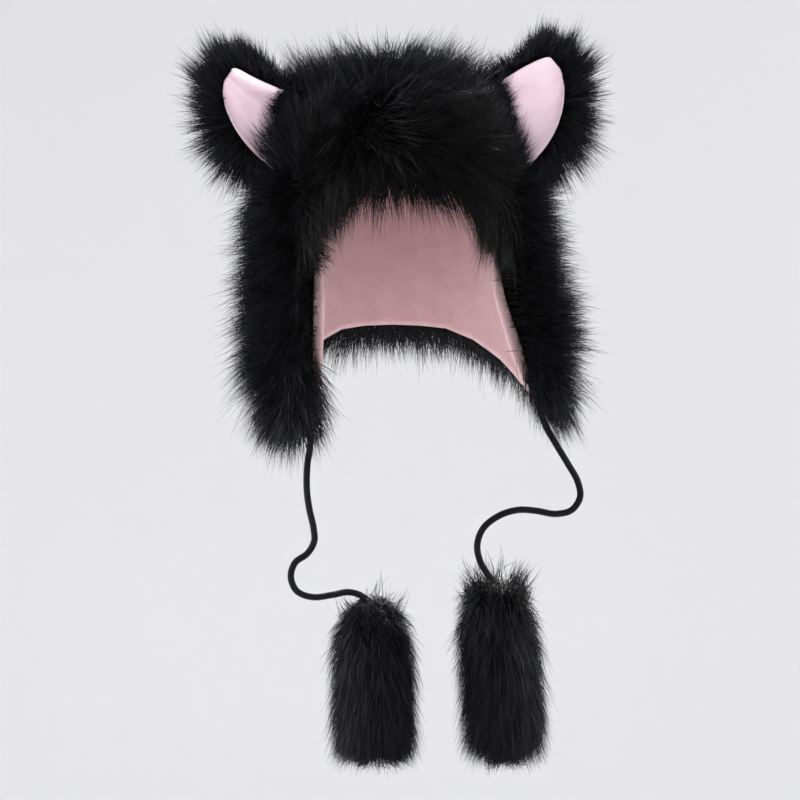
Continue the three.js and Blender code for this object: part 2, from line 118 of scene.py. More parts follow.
def unit(vectors):
    """The vectors at length one; those along the last axis of an array."""
    return vectors / np.maximum(np.linalg.norm(vectors, axis=-1, keepdims=True), 1e-12)


def smooth_route(points, step):
    """Points a step apart on a centripetal Catmull-Rom curve through the given ones."""
    points = np.array(points)
    points = np.vstack([2 * points[0] - points[1], points, 2 * points[-1] - points[-2]])
    fine = []
    for a, b, c, d in zip(points, points[1:], points[2:], points[3:]):
        before, here, after = (np.linalg.norm(q - p) ** 0.5 for p, q in ((a, b), (b, c), (c, d)))
        start = here * ((b - a) / before - (c - a) / (before + here)) + (c - b)
        end = (c - b) + here * ((d - c) / after - (d - b) / (here + after))
        t = np.linspace(0, 1, CURVE_POINTS, endpoint=False)[:, None]
        cubic = (2 * t**3 - 3 * t**2 + 1) * b + (t**3 - 2 * t**2 + t) * start
        fine.append(cubic + (3 * t**2 - 2 * t**3) * c + (t**3 - t**2) * end)
    fine = np.vstack([*fine, points[-2]])
    along = np.concatenate([[0], np.linalg.norm(np.diff(fine, axis=0), axis=1).cumsum()])
    even = np.linspace(0, along[-1], round(along[-1] / step) + 1)
    return np.column_stack([np.interp(even, along, fine[:, k]) for k in range(3)]), along[-1]


def carried_frames(line):
    """Two unit vectors across a line at each of its points, carried along without twist."""
    tangent = unit(np.gradient(line, axis=0))
    across = np.empty_like(line)
    across[0] = unit(np.cross(tangent[0], (0, 1, 0)))
    for k in range(1, len(line)):
        carried = across[k - 1] - tangent[k] * (across[k - 1] @ tangent[k])
        across[k] = unit(carried)
    return across, np.cross(tangent, across)


def tube(centre, across, upright, section):
    """Points and triangles of a closed tube, its section given as (across, upright) offsets."""
    sides, steps = len(section), len(centre)
    rings = [centre + across * u + upright * v for u, v in section]
    points = np.stack(rings, axis=1).reshape(-1, 3)
    faces = []
    ring = np.arange(steps - 1) * sides
    for k in range(sides):
        n = (k + 1) % sides
        faces.append(np.column_stack([ring + k, ring + n, ring + sides + n]))
        faces.append(np.column_stack([ring + k, ring + sides + n, ring + sides + k]))
    last = (steps - 1) * sides
    for k in range(1, sides - 1):
        faces.append(np.array([[0, k + 1, k], [last, last + k, last + k + 1]]))
    return points, np.vstack(faces)


def mesh_piece(name, points, faces, finish, uv=None):
    """A smooth-shaded mesh object at the origin, from points and triangles or quads."""
    corners = faces.shape[1]
    mesh = bpy.data.meshes.new(name)
    mesh.vertices.add(len(points))
    mesh.loops.add(faces.size)
    mesh.polygons.add(len(faces))
    mesh.vertices.foreach_set("co", points.astype(np.float32).ravel())
    mesh.polygons.foreach_set("loop_start", np.arange(0, faces.size, corners, dtype=np.int32))
    mesh.polygons.foreach_set("vertices", faces.astype(np.int32).ravel())
    mesh.polygons.foreach_set("use_smooth", np.ones(len(faces), bool))
    if uv is not None:
        mesh.uv_layers.new(name="strand").uv.foreach_set("vector", uv.astype(np.float32).ravel())
    mesh.update(calc_edges=True)
    mesh.validate()
    mesh.materials.append(finish)
    piece = bpy.data.objects.new(name, mesh)
    bpy.context.collection.objects.link(piece)
    return piece


class Value:
    """A socket in a finish, so that shader maths is written as arithmetic."""

    def __init__(self, finish, socket):
        self.finish = finish
        self.socket = socket

    def maths(self, operation, first, second):
        return self.finish.node("ShaderNodeMath", {"operation": operation}, {0: first, 1: second})

    def __add__(self, other):
        return self.maths("ADD", self, other)

    def __sub__(self, other):
        return self.maths("SUBTRACT", self, other)

    def __rsub__(self, other):
        return self.maths("SUBTRACT", other, self)

    def __mul__(self, other):
        return self.maths("MULTIPLY", self, other)

    __radd__ = __add__
    __rmul__ = __mul__


class Finish:
    """A material under construction, with one Principled shader."""

    def __init__(self, name, roughness, sheen=0.0, gloss=0.5):
        self.material = bpy.data.materials.new(name)
        self.material.use_nodes = True
        self.tree = self.material.node_tree
        self.shader = self.tree.nodes["Principled BSDF"]
        self.shader.inputs["Roughness"].default_value = roughness
        self.shader.inputs["Sheen Weight"].default_value = sheen
        self.shader.inputs["Specular IOR Level"].default_value = gloss

    def fill(self, node, inputs):
        for key, value in inputs.items():
            if isinstance(value, Value):
                self.tree.links.new(value.socket, node.inputs[key])
            else:
                node.inputs[key].default_value = value

    def node(self, kind, settings, inputs, output=0):
        node = self.tree.nodes.new(kind)
        for key, value in settings.items():
            setattr(node, key, value)
        self.fill(node, inputs)
        return Value(self, node.outputs[output])

    def place(self):
        return self.node("ShaderNodeTexCoord", {}, {}, "Object")

    def noise(self, scale, detail=3.0):
        sockets = {"Vector": self.place(), "Scale": scale, "Detail": detail}
        return self.node("ShaderNodeTexNoise", {}, sockets, "Fac")

    def blend(self, share, first, second):
        colours = {"Factor": share, "A": (*first, 1), "B": (*second, 1)}
        node = self.tree.nodes.new("ShaderNodeMix")
        node.data_type = "RGBA"
        for key, value in colours.items():
            socket = [s for s in node.inputs if s.name == key and s.enabled][0]
            if isinstance(value, Value):
                self.tree.links.new(value.socket, socket)
            else:
                socket.default_value = value
        return Value(self, [s for s in node.outputs if s.enabled][0])

    def bump(self, height, distance, strength=1.0):
        sockets = {"Height": height, "Distance": distance, "Strength": strength}
        return self.node("ShaderNodeBump", {}, sockets, "Normal")

    def done(self, **inputs):
        self.fill(self.shader, {key.replace("_", " "): value for key, value in inputs.items()})
        return self.material


BRAID_DARK = (0.0015, 0.0015, 0.002)
BRAID_LIGHT = (0.007, 0.007, 0.008)
YARN_SCALE = 1400
YARN_HEIGHT = 0.0002

braid = Finish("black_braid", roughness=0.5, gloss=0.08)
yarn = braid.noise(YARN_SCALE, 2)
black_braid = braid.done(
    Base_Color=braid.blend(yarn, BRAID_DARK, BRAID_LIGHT),
    Normal=braid.bump(yarn, YARN_HEIGHT, 0.6),
)


def braided_cord(side):
    """The braid's strands weave over two and under two round a plain core."""
    route = list(CORD_ROUTES[side])
    lowest = np.array(route[-1])
    for k in range(1, CORD_SEWN_POINTS + 1):
        route.append(tuple(lowest - (0, 0, CORD_SEWN_IN * k / CORD_SEWN_POINTS)))
    line, length = smooth_route(route, CORD_STEP)
    across, upright = carried_frames(line)
    along = np.linspace(0, length, len(line))
    turns = 2 * math.pi * np.arange(CORE_SIDES) / CORE_SIDES
    core = CORE_RADIUS * np.column_stack([np.cos(turns), np.sin(turns)])
    parts = [tube(line, across, upright, core)]
    middle = CORD_DIAMETER / 2 - STRAND_HALF_THICKNESS - BRAID_WAVE
    low = -STRAND_HALF_THICKNESS / 2
    strand_section = [(STRAND_HALF_WIDTH, low), (0, STRAND_HALF_THICKNESS), (-STRAND_HALF_WIDTH, low)]
    for way in (1, -1):
        for strand in range(BRAID_STRANDS):
            angle = 2 * math.pi * (way * along / BRAID_PITCH + strand / BRAID_STRANDS)
            weave = strand + way * BRAID_STRANDS * along / BRAID_PITCH
            lift = way * BRAID_WAVE * np.cos(math.pi * weave + math.pi / 4)
            outwards = across * np.cos(angle)[:, None] + upright * np.sin(angle)[:, None]
            centre = line + outwards * (middle + lift)[:, None]
            sideways = unit(np.cross(unit(np.gradient(centre, axis=0)), outwards))
            parts.append(tube(centre, sideways, outwards, strand_section))
    starts = np.cumsum([0] + [len(points) for points, _ in parts])
    points = np.vstack([points for points, _ in parts])
    faces = np.vstack([faces + start for (_, faces), start in zip(parts, starts)])
    return mesh_piece(f"braided_cord_{side}", points, faces, black_braid), line, length


cords = {side: braided_cord(side) for side in CORD_ROUTES}
for side, (cord, _, _) in cords.items():
    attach(cord, "root")
    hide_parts(f"cord_{side}")

# Lining. Pink plush sewn into the hood and turned out a little along the flaps' front edges,
# where slivers of it show at the face opening. It is soft and thick, with a short dense pile.
MM = 0.001
DOME_HEIGHT = 87 * MM
PLUSH = 3 * MM
SEAM_GAP = 0.3 * MM
BACKING = 3 * MM
# Columns of the hood's wall on one side, from the middle of the brow to the nape: degrees from
# straight ahead, the height where the crown zone ends, and the hem of each side below it
AZIMUTHS = [0, 15.5, 31, 46, 54, 66, 79, 92, 106, 120, 135, 150, 165, 180]
RINGS = [-83, -85, -93, -113, -130, -118, -102, -93, -90, -90, -90, -90, -90, -90]
LEFT_HEMS = [-288, -288, -288, -288, -302, -312, -309, -298, -281, -254, -231, -219, -215, -214]
RIGHT_HEMS = [-268, -268, -268, -268, -281, -292, -291, -283, -270, -248, -229, -218, -215, -214]
SIDE_COLUMNS = len(AZIMUTHS) - 1
LINING_EDGE = 3  # the column of the lining's front edge
FLAP_EDGE = 4  # and of the fur's, a little behind it
CROWN_SHARES = [0, 0.14, 0.32, 0.5, 0.68, 0.85, 1]
CROWN_ROWS = len(CROWN_SHARES) - 1
SKIRT_ROWS = 8
HOOD_ROWS = CROWN_ROWS + SKIRT_ROWS
LINING_FINENESS = 3  # cells to a column or row
SHELL_FINENESS = 2
# Shape of the wall by height, from the lowest level up
LEVELS = {
    "height": [-320, -240, -192, -144, -87, 0],
    "width": [102, 102, 101, 99, 96, 96],
    "depth": [100, 101, 104, 106, 107, 107],
    "spread": [24, 20, 10, 1, 0, 0],
    "turn": [29, 9, 1, 0, 0, 0],
    "left_show": [1, 6, 7, 1, 1, 1],
    "right_show": [1.5, 8, 7, 1.5, 1, 1],
}
SPREAD_FADE = (95, 160)  # degrees over which the right side's spread and turn fade out
TURN_FADE = (50, 95)
DROP_STEP = 0.004
WELD_DISTANCE = 1e-5


def level_at(height, name):
    """One of the wall's measures at a height."""
    return np.interp(height / MM, LEVELS["height"], LEVELS[name])


def smooth(values, low, high):
    """0 up to the low value, 1 from the high one, and a soft step between them."""
    share = np.clip((values - low) / (high - low), 0, 1)
    return share * share * (3 - 2 * share)


def band(values, rise, fall):
    """1 between two soft steps: up over the rise and down again over the fall."""
    return smooth(values, *rise) * (1 - smooth(values, *fall))


DOME_ARC = DOME_HEIGHT * math.pi / 2


def drop_at(height):
    """How far down the profile a height lies: 1 at the temples."""
    above = height + DOME_HEIGHT
    dome = np.arccos(np.clip(above / DOME_HEIGHT, -1, 1)) / (math.pi / 2)
    return np.where(above > 0, dome, 1 - above / DOME_ARC)


def inner_surface(azimuth, drop):
    """Points of the lining's inner face, from degrees round and the drop down the profile."""
    polar = np.minimum(drop, 1) * math.pi / 2
    height = DOME_HEIGHT * (np.cos(polar) - 1) - np.maximum(drop - 1, 0) * DOME_ARC
    angle = np.radians(azimuth)
    away = np.abs((azimuth + 180) % 360 - 180)
    right = np.sin(angle) > 0
    spread = np.where(right, level_at(height, "spread") * (1 - smooth(away, *SPREAD_FADE)), 0) * MM
    turn = np.where(right, level_at(height, "turn") * (1 - smooth(away, *TURN_FADE)), 0) * MM
    x = (level_at(height, "width") * MM + spread) * np.sin(polar) * np.sin(angle) + turn
    y = -level_at(height, "depth") * MM * np.sin(polar) * np.cos(angle)
    return np.stack([x, y, height + 0 * x], axis=-1)


def skin_axes(azimuth, drop):
    """Unit vectors across, down and straight out of the hood's surface."""
    drop = np.maximum(drop, 2 * DROP_STEP)
    across = inner_surface(azimuth + 1, drop) - inner_surface(azimuth - 1, drop)
    down = inner_surface(azimuth, drop + DROP_STEP) - inner_surface(azimuth, drop - DROP_STEP)
    return unit(across), unit(down), unit(np.cross(down, across))


def hood_place(i, j):
    """Azimuth, drop and hem height of a spot in the hood's grid of columns and rows."""
    column = np.abs(i)
    at = np.arange(SIDE_COLUMNS + 1)
    ring = np.interp(column, at, RINGS) * MM
    left = i < 0
    hem = np.where(left, np.interp(column, at, LEFT_HEMS), np.interp(column, at, RIGHT_HEMS)) * MM
    plain = np.interp(column, at, AZIMUTHS)
    crown_drop = np.interp(j, range(CROWN_ROWS + 1), CROWN_SHARES) * drop_at(ring)
    share = np.clip((j - CROWN_ROWS) / SKIRT_ROWS, 0, 1)
    height = ring + (hem - ring) * share
    show = np.where(left, level_at(height, "left_show"), level_at(height, "right_show"))
    edge = AZIMUTHS[FLAP_EDGE] - show * (FLAP_EDGE - column)
    turned = (column >= LINING_EDGE) & (column < FLAP_EDGE)
    below = np.clip(j - CROWN_ROWS, 0, 1)
    azimuth = np.where(turned, plain + (edge - plain) * below, plain)
    drop = np.where(j <= CROWN_ROWS, crown_drop, drop_at(height))
    return np.where(left, -azimuth, azimuth), drop, hem


def hood_point(i, j, offset):
    """A point straight out from the lining's inner face by the offset."""
    azimuth, drop, _ = hood_place(i, j)
    return inner_surface(azimuth, drop) + skin_axes(azimuth, drop)[2] * np.asarray(offset)[..., None]


def edit_mesh(piece, *steps):
    """Run editing steps over all of a piece's mesh, each an operator with its settings."""
    bpy.ops.object.select_all(action="DESELECT")
    piece.select_set(True)
    bpy.context.view_layer.objects.active = piece
    bpy.ops.object.mode_set(mode="EDIT")
    bpy.ops.mesh.select_all(action="SELECT")
    for step, settings in steps:
        step(**settings)
    bpy.ops.object.mode_set(mode="OBJECT")
    piece.select_set(False)


def with_border(has, closed):
    """The cells with a border round them: empty, or on a closed grid the far side's cells."""
    padded = np.pad(has, 1)
    if closed:
        padded[0], padded[-1] = padded[-2], padded[1]
    return padded


def wall(name, columns, rows, has, inner, outer, finish, closed=False):
    """A closed wall over the cells of a grid, for which has is true. inner and outer hold the
    points of the two faces, column by column. A closed grid's last column is its first."""
    count = columns if closed else columns + 1
    number = np.arange(count * (rows + 1)).reshape(count, rows + 1)
    if closed:
        number = np.vstack([number, number[:1]])
    far = number + count * (rows + 1)
    padded = with_border(has, closed)
    faces = []

    def add(cells, *corners):
        i, j = np.nonzero(cells)
        faces.append(np.column_stack([grid[i + u, j + v] for grid, u, v in corners]))

    add(has, (far, 0, 0), (far, 0, 1), (far, 1, 1), (far, 1, 0))
    add(has, (number, 0, 0), (number, 1, 0), (number, 1, 1), (number, 0, 1))
    add(has & ~padded[:-2, 1:-1], (far, 0, 1), (far, 0, 0), (number, 0, 0), (number, 0, 1))
    add(has & ~padded[1:-1, 2:], (far, 1, 1), (far, 0, 1), (number, 0, 1), (number, 1, 1))
    add(has & ~padded[2:, 1:-1], (far, 1, 0), (far, 1, 1), (number, 1, 1), (number, 1, 0))
    add(has & ~padded[1:-1, :-2], (far, 0, 0), (far, 1, 0), (number, 1, 0), (number, 0, 0))
    points = np.concatenate([inner[:count].reshape(-1, 3), outer[:count].reshape(-1, 3)])
    piece = mesh_piece(name, points, np.vstack(faces), finish)
    weld = bpy.ops.mesh.remove_doubles, {"threshold": WELD_DISTANCE}
    edit_mesh(piece, weld, (bpy.ops.mesh.delete_loose, {}))
    return piece


def hood_grid(fineness, edge):
    """Column and row numbers of a fine grid over the hood, and which of its cells exist."""
    columns, rows = 2 * SIDE_COLUMNS * fineness, HOOD_ROWS * fineness
    i = np.arange(columns + 1) / fineness - SIDE_COLUMNS
    j = np.arange(rows + 1) / fineness
    middle_i = np.abs((i[:-1] + i[1:]) / 2)
    middle_j = (j[:-1] + j[1:]) / 2
    has = (middle_j[None] < CROWN_ROWS) | (middle_i[:, None] > edge)
    i, j = np.meshgrid(i, j, indexing="ij")
    return columns, rows, i, j, has


NAP_SCALE = 900
NAP_HEIGHT = 0.0012
STREAK_SCALE = 60


def plush_finish(name, deep, pale):
    """Short dense pile: a soft sheen, fine nap and faint streaks where it was stroked."""
    plush = Finish(name, roughness=0.9, sheen=0.35)
    nap = plush.noise(NAP_SCALE, 4)
    streaks = plush.noise(STREAK_SCALE, 3)
    share = 0.65 * nap + 0.7 * streaks - 0.18
    return plush.done(
        Base_Color=plush.blend(share, deep, pale),
        Normal=plush.bump(0.7 * nap + 0.3 * streaks, NAP_HEIGHT, 0.8),
    )


# The lining's pinks are the ears' pink plush painted darker: painted shade inside the hood.
LINING_SHADED_DEEP = (0.33, 0.185, 0.197)
LINING_SHADED_PALE = (0.47, 0.315, 0.327)
pink_plush = plush_finish("pink_plush", LINING_SHADED_DEEP, LINING_SHADED_PALE)

columns, rows, i, j, has = hood_grid(LINING_FINENESS, LINING_EDGE)
lining = wall(
    "plush_lining",
    columns,
    rows,
    has,
    hood_point(i, j, 0),
    hood_point(i, j, PLUSH),
    pink_plush,
    closed=True,
)
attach(lining, "root")
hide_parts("lining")

# Fur shell. The hood's black fur fabric: its woven backing lies on the lining, and dense short
# underfur rises from it between the long hairs, thinning out along every seamed edge.
SHELL_OFFSET = PLUSH + SEAM_GAP
UNDERFUR = 11 * MM
UNDERFUR_SCALE = 420
UNDERFUR_HEIGHT = 3 * MM
FUR_BLACK = (0.002, 0.002, 0.002)
FUR_ROOT = (0.0015, 0.0015, 0.0017)
FUR_TIP = (0.027, 0.0282, 0.0325)

underfur = Finish("underfur", roughness=0.95, gloss=0)
tufts = underfur.noise(UNDERFUR_SCALE, 4)
black_underfur = underfur.done(
    Base_Color=underfur.blend(tufts, FUR_BLACK, FUR_ROOT),
    Normal=underfur.bump(tufts, UNDERFUR_HEIGHT),
)

columns, rows, i, j, has = hood_grid(SHELL_FINENESS, FLAP_EDGE)
held = with_border(has, True)
held[:, 0] = True
on_hem = ~(held[:-1, :-1] & held[1:, :-1] & held[:-1, 1:] & held[1:, 1:])
shell = wall(
    "fur_shell",
    columns,
    rows,
    has,
    hood_point(i, j, SHELL_OFFSET),
    hood_point(i, j, SHELL_OFFSET + np.where(on_hem, BACKING, BACKING + UNDERFUR)),
    black_underfur,
    closed=True,
)
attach(shell, "root")
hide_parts("hood_fur")

# Long fur of the hood. Loose tufts of soft black hairs, 30 to 65 mm long, are woven into the
# backing. They stand up on the crown, bend down over the brow and the flaps, and fan out below
# the hems.
HAIR_LEVELS = [0, 0.36, 0.7, 1]
HAIR_WIDTHS = [0.8, 1, 0.65]
HAIR_BEND = 0.62  # share of a hair's rise at which it bends over
HAIR_CURL = 0.6
HAIR_TWIST = 0.55
TUFT_PULL = (-0.1, 0.9)  # share by which a tuft's hairs draw together at their tips
HAIR_REACH = (0.66, 1.02)  # share of its tuft's length that a hair has
LONG_HAIRS = 0.08  # share of the hairs that reach further
LONG_EXTRA = 0.16
LEAST_SHADE = 0.1  # of the palest hair's shade, and most hairs are near it
SHADE_POWER = 3
DRIFT_SIZE = 0.05

hair = Finish("long_fur", roughness=0.5, gloss=0.05)
# The strand map's x is each hair's own shade of black times its tone, which paints highlight on the
# crown, flap hems and ears and shade on the forehead.
strand = hair.node("ShaderNodeUVMap", {"uv_map": "strand"}, {}, "UV")
strand_shade_with_painted_light = hair.node("ShaderNodeSeparateXYZ", {}, {0: strand}, "X")
up_strand = hair.node("ShaderNodeSeparateXYZ", {}, {0: strand}, "Y")
long_fur = hair.done(Base_Color=hair.blend(up_strand * strand_shade_with_painted_light, FUR_ROOT, FUR_TIP))


def hairs(name, root, rise, lean, painted_light_tone, count, spread, width, stray, rng):
    """One mesh of flat tapering hairs. Each tuft has a root, a rise straight out of the skin
    and a lean along it; its hairs bend over from the one to the other. The tone is painted
    light: it makes a tuft's tips paler as a painted highlight and darker as painted shade."""
    total = len(root) * count
    painted_light_tone = np.repeat(np.broadcast_to(painted_light_tone, len(root)), count)
    pull = np.repeat(rng.uniform(*TUFT_PULL, (len(root), 1)), count, axis=0)
    root, rise, lean = (np.repeat(values, count, axis=0) for values in (root, rise, lean))
    out = unit(rise)
    aside = spread * rng.normal(size=(total, 3))
    aside -= out * (aside * out).sum(axis=1, keepdims=True)
    reach = rng.uniform(*HAIR_REACH, (total, 1))
    reach = reach + (rng.random((total, 1)) < LONG_HAIRS) * LONG_EXTRA
    foot = root + aside
    bend = foot + rise * HAIR_BEND * reach + HAIR_CURL * stray * rng.normal(size=(total, 3))
    tip = foot - aside * pull + (rise + lean) * reach + stray * rng.normal(size=(total, 3))
    side = unit(np.cross(tip - foot, out + HAIR_TWIST * rng.normal(size=(total, 3))))
    points = []
    for level, share in zip(HAIR_LEVELS, HAIR_WIDTHS):
        line = (1 - level) ** 2 * foot + 2 * level * (1 - level) * bend + level**2 * tip
        points += [line - side * width * share / 2, line + side * width * share / 2]
    points = np.stack([*points, tip], axis=1)
    corners = np.array([[0, 1, 3], [0, 3, 2], [2, 3, 5], [2, 5, 4], [4, 5, 6]])
    per_hair = points.shape[1]
    faces = (np.arange(total)[:, None, None] * per_hair + corners).reshape(-1, 3)
    level = np.array([0, 0, 1, 1, 2, 2, 3])[corners].ravel()
    along = np.tile(np.array(HAIR_LEVELS)[level], total)
    # each hair's own random shade of black, times its tone of painted highlight and painted shade
    hair_shade_with_painted_light = (LEAST_SHADE + (1 - LEAST_SHADE) * rng.random(total) ** SHADE_POWER) * painted_light_tone
    uv = np.column_stack([np.repeat(hair_shade_with_painted_light, corners.size), along])
    return mesh_piece(name, points.reshape(-1, 3), faces, long_fur, uv)


def drift(points, seed):
    """A slow wander from -1 to 1 over the fur, so that it lies in swirls."""
    x, y, z = (points / DRIFT_SIZE).T
    waves = np.sin(1.3 * x + 0.7 * z + seed) + np.sin(1.1 * y - 0.9 * z + 2.1 * seed)
    return (waves + np.sin(0.8 * x - 1.2 * y + 0.5 * z + 3.7 * seed)) / 3


HOOD_TUFTS = 12800
BROW_DENSER = 1.4  # how much more thickly the tufts stand along the brow
FRONT_DENSER = 0.7  # along the flaps' front edges
HEM_DENSER = 1.0  # and along the hems
TUFT_LENGTHS = (0.8, 1.1)  # shares of the pile
STRAY_SHARE = 0.07  # tufts that stand out further than the others
STRAY_EXTRA = 0.2
HAIRS_PER_TUFT = 9
HAIR_WIDTH = 0.58 * MM
TUFT_SPREAD = 4.2 * MM
TIP_STRAY = 4.2 * MM
CROWN_PILE = 53 * MM
SHOULDER_PILE = 64 * MM
SIDE_PILE = 58 * MM
BACK_PILE = 36 * MM
EAR_FRONT_PILE = 50 * MM
EAR_FRONT_LEAN = 20 * MM
TOUSLE = 6 * MM
BROW_PILE = 31 * MM
CROWN_LEAN = 18 * MM
BROW_HEIGHTS = [0, 12, 30, 50, 80]  # over the brow's edge
BROW_LEANS = [54, 50, 42, 28, 10]  # the fur hangs down at the edge and stands up at the top
RIGHT_BROW_EXTRA = 20 * MM  # how much further it hangs down at the right
SIDEWAYS_LEAN = 32 * MM
FOLD_HEIGHTS = [-300, -270, -245, -225, -195, -160, -110]
LEFT_FOLDS = [14, 20, 22, 8, 4, 19, 33]  # how far a flap's fur folds over the lining's edge
RIGHT_FOLDS = [26, 12, 3, 3, 10, 34, 56]
FOLD_TURN = math.radians(62)
FOLD_REACH = 22  # degrees behind that edge
HEM_DISTANCES = [0, 12, 37, 62, 90]
HEM_PILES = [16, 24, 42, 50, 60]
FLAP_HEM_PILES = [22, 35, 51, 59, 62]
LEFT_HEM_LEANS = [40, 39, 30, 20, 16]
RIGHT_HEM_LEANS = [50, 38, 15, 8, 10]
LEFT_CROWN_RISE = 20 * MM  # how much less the left shoulder's fur leans down
LEFT_CROWN_EXTRA = 11 * MM  # and how much longer it stands
RIGHT_EAR_SHORTER = (10, 8)  # millimetres less before the right ear, and at its foot more
CROWN_PAINTED_HIGHLIGHT = 0.6  # how much paler the crown's and the flap hems' hair tips are painted: a painted highlight for the lamps' light on them
HEM_PAINTED_HIGHLIGHT = 0.4
FOREHEAD_PAINTED_SHADE = 0.75  # and how much darker the forehead's are painted: painted shade
SWIRL = math.radians(74)  # how far the crown's fur is combed round to the right
SWIRL_DRIFT = math.radians(26)
# Zones of the fur. A pair says where a soft step begins and where it is full. ROUND is in degrees
# from straight ahead, DOWN is the drop down the profile, and OVER is in metres over the brow's
# edge. Two pairs are the zone's beginning and its end.
BEHIND_ROUND = (110, 160)
BESIDE_ROUND = (40, 80)
BESIDE_DOWN = (0.6, 1.1)
FACING_ROUND = (40, 75)
FACING_DOWN = (0.3, 0.6)
FLAP_ROUND = (95, 130)
SHOULDER_DOWN = ((0.15, 0.45), (0.6, 0.95))
BY_EAR_ROUND = ((36, 56), (92, 104))
BY_EAR_DOWN = ((0.42, 0.62), (0.92, 1.12))
EAR_FOOT_DOWN = (0.5, 0.8)
LEFT_SHOULDER_ROUND = ((15, 50), (120, 150))
RIGHT_BROW_ROUND = (10, 32)
RIGHT_BROW_OVER = (0.015, 0.04)
SWIRL_ROUND = ((-40, -5), (70, 112))
SWIRL_DOWN = (1.1, 1.9)
SWIRL_OVER = (0.01, 0.04)
CORNER_ROUND = (20, 46)
CORNER_OVER = (0.01, 0.035)
# drop over which the crown's painted highlight gives way to the forehead's painted shade
PAINTED_LIGHT_DOWN = (0.4, 0.65)
HEM_HIGHLIGHT_FADE = (20, 80)  # millimetres over the hem, over which the hems' painted highlight fades
BARED_SHOW = (2, 4)  # where the lining shows wide, the flap's fur folds less over its edge
BARED_HEIGHT = (-0.255, -0.23)
BARED_SHARE = 0.6
CROWN_END = 0.62  # drop down to which the fur is the crown's
NAPE_START = 118  # degrees from which the fur below the crown is the nape's

rng = np.random.default_rng(7)
corner = hood_point(i, j, SHELL_OFFSET)
one = corner[1:, 1:] - corner[:-1, :-1]
other = corner[:-1, 1:] - corner[1:, :-1]
cell_area = np.linalg.norm(np.cross(one, other), axis=-1) / 2 * has
cell_i, cell_j = i[:-1, :-1], j[:-1, :-1]
half_cell = 0.5 / SHELL_FINENESS
at_brow = (np.abs(cell_i) < FLAP_EDGE) & (cell_j >= CROWN_ROWS - 1)
at_front = (np.abs(cell_i + half_cell) < FLAP_EDGE + 1) & (cell_j >= CROWN_ROWS)
at_hem = cell_j >= HOOD_ROWS - 1
weight = cell_area * (1 + BROW_DENSER * at_brow + FRONT_DENSER * at_front + HEM_DENSER * at_hem)
cell = rng.choice(weight.size, HOOD_TUFTS, p=(weight / weight.sum()).ravel())
tuft_i = cell_i.ravel()[cell] + rng.random(HOOD_TUFTS) / SHELL_FINENESS
tuft_j = cell_j.ravel()[cell] + rng.random(HOOD_TUFTS) / SHELL_FINENESS

# where each tuft is rooted, and how far it belongs to each zone
azimuth, drop, hem = hood_place(tuft_i, tuft_j)
away = np.abs(azimuth)
on_left = azimuth < 0
side_sign = np.sign(azimuth)[:, None]
across, down, out = skin_axes(azimuth, drop)
root = inner_surface(azimuth, drop) + out * (SHELL_OFFSET + BACKING / 2)
height = root[:, 2]
ring = np.interp(np.abs(tuft_i), range(SIDE_COLUMNS + 1), RINGS) * MM
over_brow = height - ring
over_face = away < AZIMUTHS[FLAP_EDGE]
over_hem = (height - hem) / MM
behind = smooth(away, *BEHIND_ROUND)
beside = smooth(away, *BESIDE_ROUND) * smooth(drop, *BESIDE_DOWN)
shoulder = band(drop, *SHOULDER_DOWN)
by_ear = band(away, *BY_EAR_ROUND) * band(drop, *BY_EAR_DOWN)
facing = (1 - smooth(away, *FACING_ROUND)) * smooth(drop, *FACING_DOWN)
flap = 1 - smooth(away, *FLAP_ROUND)
edge_share = smooth(away, AZIMUTHS[FLAP_EDGE], AZIMUTHS[FLAP_EDGE] + FOLD_REACH)
left_rise, left_fall = LEFT_SHOULDER_ROUND
left_shoulder = smooth(-azimuth, *left_rise) * (1 - smooth(away, *left_fall)) * shoulder

# its pile: how far it stands out
pile = CROWN_PILE + (SHOULDER_PILE - CROWN_PILE) * shoulder
pile += (SIDE_PILE - pile) * beside
pile += (BACK_PILE - pile) * behind * (1 - 0.5 * shoulder)
shorter = RIGHT_EAR_SHORTER[0] + RIGHT_EAR_SHORTER[1] * smooth(drop, *EAR_FOOT_DOWN)
ear_front = EAR_FRONT_PILE - np.where(azimuth > 0, shorter, 0) * MM
pile += (ear_front - pile) * by_ear
pile += (BROW_PILE - pile) * facing * over_face
pile *= np.where(over_face, 1, 1 - 0.35 * (1 - edge_share))
hem_pile = np.interp(over_hem, HEM_DISTANCES, HEM_PILES) * (1 - flap) * MM
hem_pile += np.interp(over_hem, HEM_DISTANCES, FLAP_HEM_PILES) * flap * MM
pile = np.where(over_face, pile, np.minimum(pile, hem_pile))
pile += LEFT_CROWN_EXTRA * left_shoulder * (1 - by_ear)

# its comb: which way it lies along the skin, and how far
brow_lean = np.interp(over_brow / MM, BROW_HEIGHTS, BROW_LEANS) * MM
right_brow = smooth(azimuth, *RIGHT_BROW_ROUND)
brow_lean += RIGHT_BROW_EXTRA * right_brow * (1 - smooth(over_brow, *RIGHT_BROW_OVER))
crown_lean = CROWN_LEAN + (brow_lean - CROWN_LEAN) * facing
left_lean = np.interp(over_hem, HEM_DISTANCES, LEFT_HEM_LEANS)
right_lean = np.interp(over_hem, HEM_DISTANCES, RIGHT_HEM_LEANS)
right_lean += (left_lean - right_lean) * (1 - flap)
lean = np.where(over_face, crown_lean, np.where(on_left, left_lean, right_lean) * MM)
lean -= LEFT_CROWN_RISE * left_shoulder
swirl_rise, swirl_fall = SWIRL_ROUND
swirl = SWIRL * smooth(azimuth, *swirl_rise) * (1 - smooth(azimuth, *swirl_fall))
from_edge = np.where(over_face, 0.1 + 0.9 * smooth(over_brow, *SWIRL_OVER), 1)
swirl *= (1 - smooth(drop, *SWIRL_DOWN)) * from_edge
